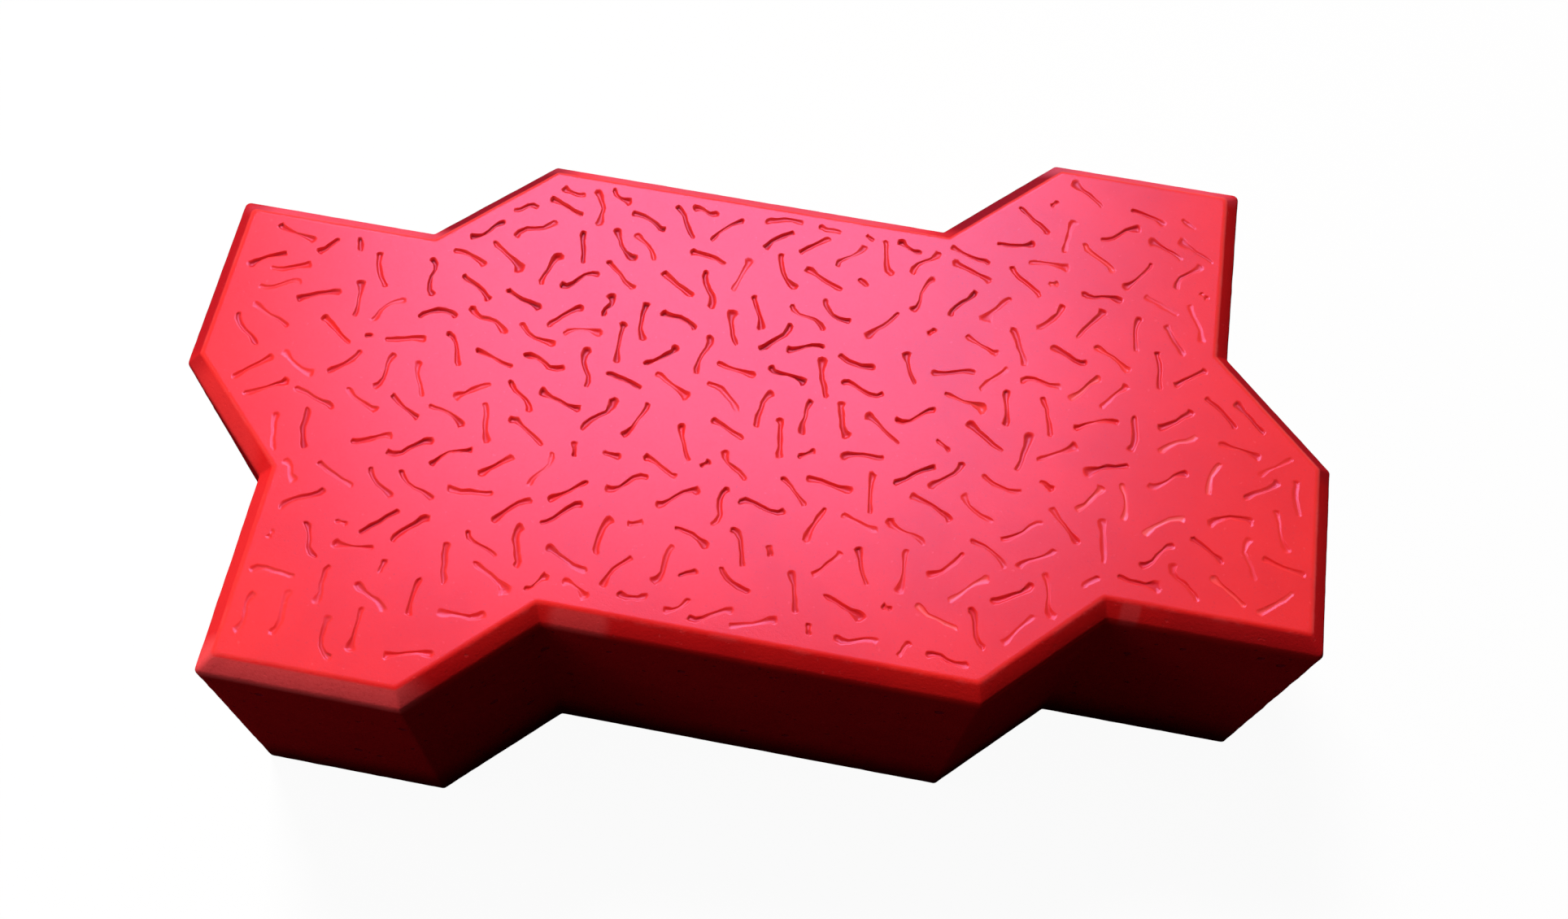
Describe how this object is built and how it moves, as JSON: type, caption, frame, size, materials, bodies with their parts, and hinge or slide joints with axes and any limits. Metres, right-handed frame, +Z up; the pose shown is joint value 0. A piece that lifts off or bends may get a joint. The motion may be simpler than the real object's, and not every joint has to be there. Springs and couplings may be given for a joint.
{
  "type": "concrete paving stone",
  "caption": "Red cast concrete paving stone with a zigzag interlocking outline, chamfered edges and a wearing face pressed with short anti-slip strokes.",
  "frame": {"origin": "centre of the bed face, on the surface that the stone lies on", "axes": "+Z up from the bed face to the wearing face, +X along the long straight edges, +Y away from the long side that the picture shows in front"},
  "size_m": [0.24, 0.1522, 0.065],
  "materials": {
    "red_concrete": "dense cast concrete, coloured through, satin"
  },
  "bodies": {
    "root": {"paving_stone": "red_concrete"}
  },
  "joints": []
}
